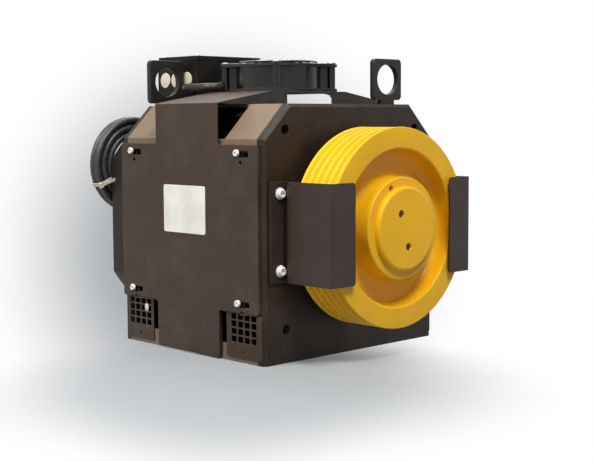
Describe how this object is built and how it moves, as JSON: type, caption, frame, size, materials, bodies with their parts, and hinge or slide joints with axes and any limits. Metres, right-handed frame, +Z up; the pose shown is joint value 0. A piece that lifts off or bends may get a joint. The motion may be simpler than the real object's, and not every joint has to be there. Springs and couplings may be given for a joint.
{
  "type": "elevator traction machine",
  "caption": "Compact gearless hoist machine: grooved drive sheave, octagonal motor casing, end plates, top cooling fan, lifting eyes, rope guards and rear brake.",
  "frame": {"origin": "bottom centre of the machine, on the plane it rests on", "axes": "+Z up, +Y backwards along the shaft (the rope sheave is at -Y), +X to the right seen from the sheave side"},
  "size_m": [0.341, 0.498, 0.4045],
  "materials": {
    "plate_paint": "satin dark grey-brown paint with an orange-peel texture",
    "casing_paint": "satin grey paint",
    "cover_paint": "satin dark grey-brown powder coat",
    "hood_paint": "satin grey paint",
    "grille_paint": "satin dark paint",
    "guard_paint": "satin dark grey-brown powder coat",
    "brake_cover_paint": "satin dark paint",
    "label_blank": "plain off-white plate",
    "eye_steel": "dark painted forged steel",
    "zinc": "zinc plated",
    "fan_black": "black painted cast frame",
    "fan_plastic": "black moulded plastic",
    "guard_wire": "bright wire",
    "sheave_paint": "gloss yellow paint on cast iron",
    "cap_screw": "recessed screws",
    "stator_paint": "dark paint",
    "lamination": "stacked lamination",
    "copper": "varnished copper windings",
    "machined_steel": "machined steel",
    "rotor_iron": "machined cast iron",
    "friction": "friction lining",
    "brake_black": "black painted magnet body",
    "encoder_grey": "dark housing",
    "gland_black": "black moulded plastic",
    "tbox_paint": "grey painted box",
    "terminal_cream": "cream moulded plastic",
    "cable_black": "black cable sheath",
    "tie_white": "natural nylon"
  },
  "bodies": {
    "machine": {"front_plate": "plate_paint", "rear_plate": "plate_paint", "base_plate": "plate_paint", "tie_rods": "zinc", "stator_frame": "stator_paint", "stator_core": "lamination", "stator_windings": "copper", "casing_shell": "casing_paint", "side_cover_left": "cover_paint", "side_cover_right": "cover_paint", "vent_grilles": "grille_paint", "cover_screws": "zinc", "nameplate": "label_blank", "lifting_eye_front": "eye_steel", "lifting_eye_rear": "eye_steel", "frame_bolts": "zinc", "fan_conduit": "gland_black", "fan_hood": "hood_paint", "fan_frame": "fan_black", "fan_motor": "fan_black", "finger_guard": "guard_wire", "fan_screws": "zinc", "rope_guard_left": "guard_paint", "rope_guard_right": "guard_paint", "bearing_outer_rings": "machined_steel", "front_bearing_cap": "plate_paint", "brake_magnet_body": "brake_black", "brake_coil": "copper", "brake_springs": "zinc", "brake_spacers": "zinc", "brake_bolts": "zinc", "brake_cover": "brake_cover_paint", "case_screws": "zinc", "encoder_body": "encoder_grey", "encoder_cover": "encoder_grey", "encoder_gland": "gland_black", "terminal_box": "tbox_paint", "terminal_lid": "tbox_paint", "terminal_block": "terminal_cream", "terminal_plugs": "terminal_cream", "terminal_gland": "gland_black", "cable_hook": "zinc", "cable_lead": "cable_black", "cable_coil": "cable_black", "cable_return": "cable_black", "cable_tie": "tie_white"},
    "rotor": {"main_shaft": "machined_steel", "traction_sheave": "sheave_paint", "sheave_cap": "sheave_paint", "cap_screws": "cap_screw", "rotor_drum": "rotor_iron", "rotor_magnets": "lamination", "bearing_inner_rings": "machined_steel", "bearing_rollers": "machined_steel", "brake_hub": "machined_steel", "friction_disc": "friction", "encoder_hub": "machined_steel"},
    "fan_rotor": {"fan_impeller": "fan_plastic"},
    "armature_left": {"armature_left": "machined_steel"},
    "armature_right": {"armature_right": "machined_steel"}
  },
  "joints": [
    {"name": "sheave_spin", "type": "hinge", "parent": "machine", "child": "rotor", "pos_m": [0, 0, 0.17], "axis": [0, 1, 0], "continuous": true},
    {"name": "fan_spin", "type": "hinge", "parent": "machine", "child": "fan_rotor", "pos_m": [-0.002, -0.0105, 0.36], "axis": [0, 0, 1], "continuous": true},
    {"name": "brake_left", "type": "slide", "parent": "machine", "child": "armature_left", "axis": [0, 1, 0], "range_m": [0, 0.0003]},
    {"name": "brake_right", "type": "slide", "parent": "machine", "child": "armature_right", "axis": [0, 1, 0], "range_m": [0, 0.0003]}
  ]
}
